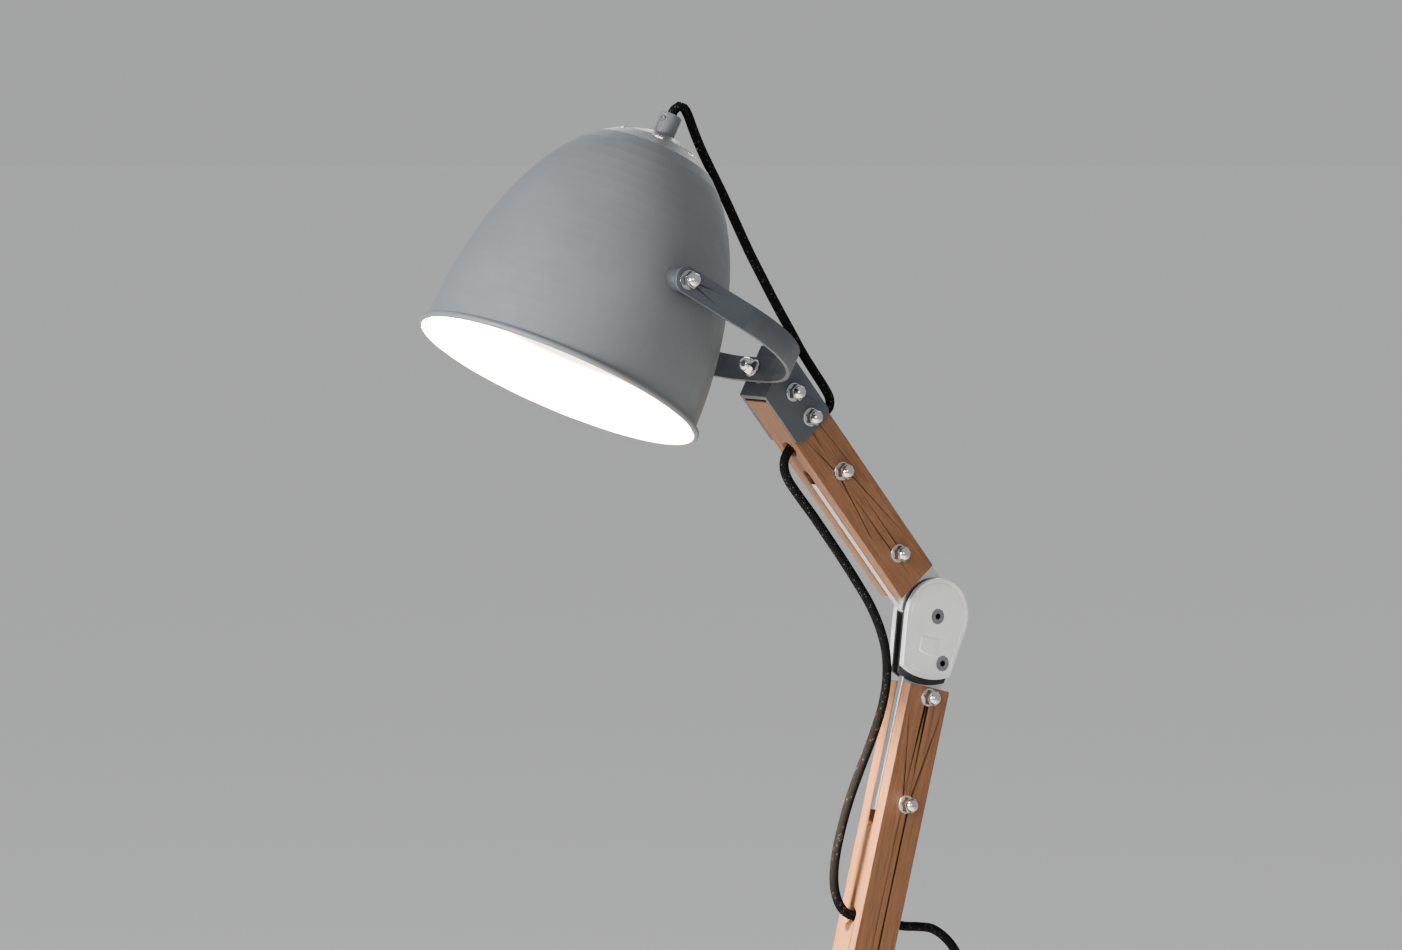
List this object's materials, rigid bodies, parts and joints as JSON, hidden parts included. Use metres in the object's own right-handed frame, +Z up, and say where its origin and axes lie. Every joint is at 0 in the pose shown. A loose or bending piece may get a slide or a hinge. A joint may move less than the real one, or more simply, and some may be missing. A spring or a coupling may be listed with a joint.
{
  "type": "adjustable arm floor lamp",
  "caption": "Floor lamp with a weighted round base, hinged wooden arms and a tilting metal shade on a strap yoke, with a braided cord.",
  "frame": {"origin": "centre of the base's underside, on the floor", "axes": "+Z up; the arms lie in the XZ plane and the shade hangs on the -X side; hinge axes run along Y"},
  "size_m": [0.4536, 0.3677, 1.4922],
  "materials": {
    "base_pad_rubber": "matte",
    "cast_iron_weight": "rough",
    "slate_paint": "fine matte paint",
    "satin_steel_plate": "satin",
    "friction_plate_black": "matte",
    "brown_wood": "satin lacquer",
    "satin_tongue": "satin",
    "grey_shade_paint": "matte paint outside, white inside",
    "dark_grey_paint": "satin paint",
    "white_holder": "semi-gloss",
    "brass_fittings": "satin",
    "bulb_cap_metal": "satin",
    "bulb_glass_opal": "opal",
    "black_textile_cord": "braided",
    "plug_pin_nickel": "nickel plated",
    "black_plastic": "satin",
    "bright_fasteners": "polished"
  },
  "bodies": {
    "base": {"base_pad": "base_pad_rubber", "base_weight": "cast_iron_weight", "base_cover": "slate_paint", "base_post": "slate_paint", "base_post_screws": "bright_fasteners", "base_cheek_near": "satin_steel_plate", "base_cheek_far": "satin_steel_plate", "base_friction_near": "friction_plate_black", "base_friction_far": "friction_plate_black", "base_hinge_screws": "bright_fasteners", "base_hinge_nuts": "bright_fasteners", "cord_drop": "black_textile_cord", "cord_tail": "black_textile_cord", "cord_coil": "black_textile_cord", "cord_end": "black_textile_cord", "switch_base": "black_plastic", "switch_cover": "black_plastic", "switch_contact_block": "brass_fittings", "switch_strain_reliefs": "black_plastic", "plug_body": "black_plastic", "plug_pins": "plug_pin_nickel", "plug_strain_relief": "black_plastic"},
    "lower_arm": {"lower_arm_wood": "brown_wood", "lower_arm_foot_tongue": "satin_tongue", "lower_arm_head_tongue": "satin_tongue", "lower_arm_bolts": "bright_fasteners", "lower_arm_nuts": "bright_fasteners", "lower_arm_washers": "bright_fasteners", "elbow_cheek_near": "satin_steel_plate", "elbow_cheek_far": "satin_steel_plate", "elbow_friction_near": "friction_plate_black", "elbow_friction_far": "friction_plate_black", "elbow_screws": "bright_fasteners", "elbow_nuts": "bright_fasteners", "cord_elbow": "black_textile_cord"},
    "upper_arm": {"upper_arm_wood": "brown_wood", "upper_arm_tongue": "satin_tongue", "upper_arm_bolts": "bright_fasteners", "upper_arm_nuts": "bright_fasteners", "upper_arm_washers": "bright_fasteners", "head_bracket": "slate_paint", "swivel_bolt": "bright_fasteners", "swivel_washers": "bright_fasteners", "swivel_nut": "bright_fasteners", "cord_head": "black_textile_cord"},
    "yoke": {"yoke_strap": "slate_paint", "cord_shade": "black_textile_cord"},
    "shade": {"shade_shell": "grey_shade_paint", "shade_spacers": "dark_grey_paint", "shade_pivot_screws": "bright_fasteners", "shade_pivot_nuts": "bright_fasteners", "neck_collar": "dark_grey_paint", "neck_grub_screw": "bright_fasteners", "neck_nipple": "brass_fittings", "lampholder_cap": "white_holder", "lampholder_shell": "white_holder", "lampholder_insert": "white_holder", "bulb_cap": "bulb_cap_metal", "bulb_glass": "bulb_glass_opal"},
    "switch_button": {"switch_button": "black_plastic"}
  },
  "joints": [
    {"name": "base_hinge", "type": "hinge", "parent": "base", "child": "lower_arm", "pos_m": [0, 0, 0.08], "axis": [0, 1, 0], "range_deg": [-24, 15], "deforming": ["cord_drop"]},
    {"name": "elbow_hinge", "type": "hinge", "parent": "lower_arm", "child": "upper_arm", "pos_m": [0.2735, 0, 1.13513], "axis": [0, 1, 0], "range_deg": [-56, 53.5], "deforming": ["cord_elbow"]},
    {"name": "yoke_swivel", "type": "hinge", "parent": "upper_arm", "child": "yoke", "pos_m": [0.13011, 0, 1.30841], "axis": [0.8805, 0, -0.4741], "range_deg": [-60, 60], "deforming": ["cord_head"]},
    {"name": "shade_tilt", "type": "hinge", "parent": "yoke", "child": "shade", "pos_m": [0.002, 0, 1.37739], "axis": [0, 1, 0], "range_deg": [-30, 40], "deforming": ["cord_shade"]},
    {"name": "foot_switch_press", "type": "slide", "parent": "base", "child": "switch_button", "axis": [0, 0, -1], "range_m": [0, 0.0025], "stiffness_N_per_m": 400, "springref_m": -0.002}
  ]
}
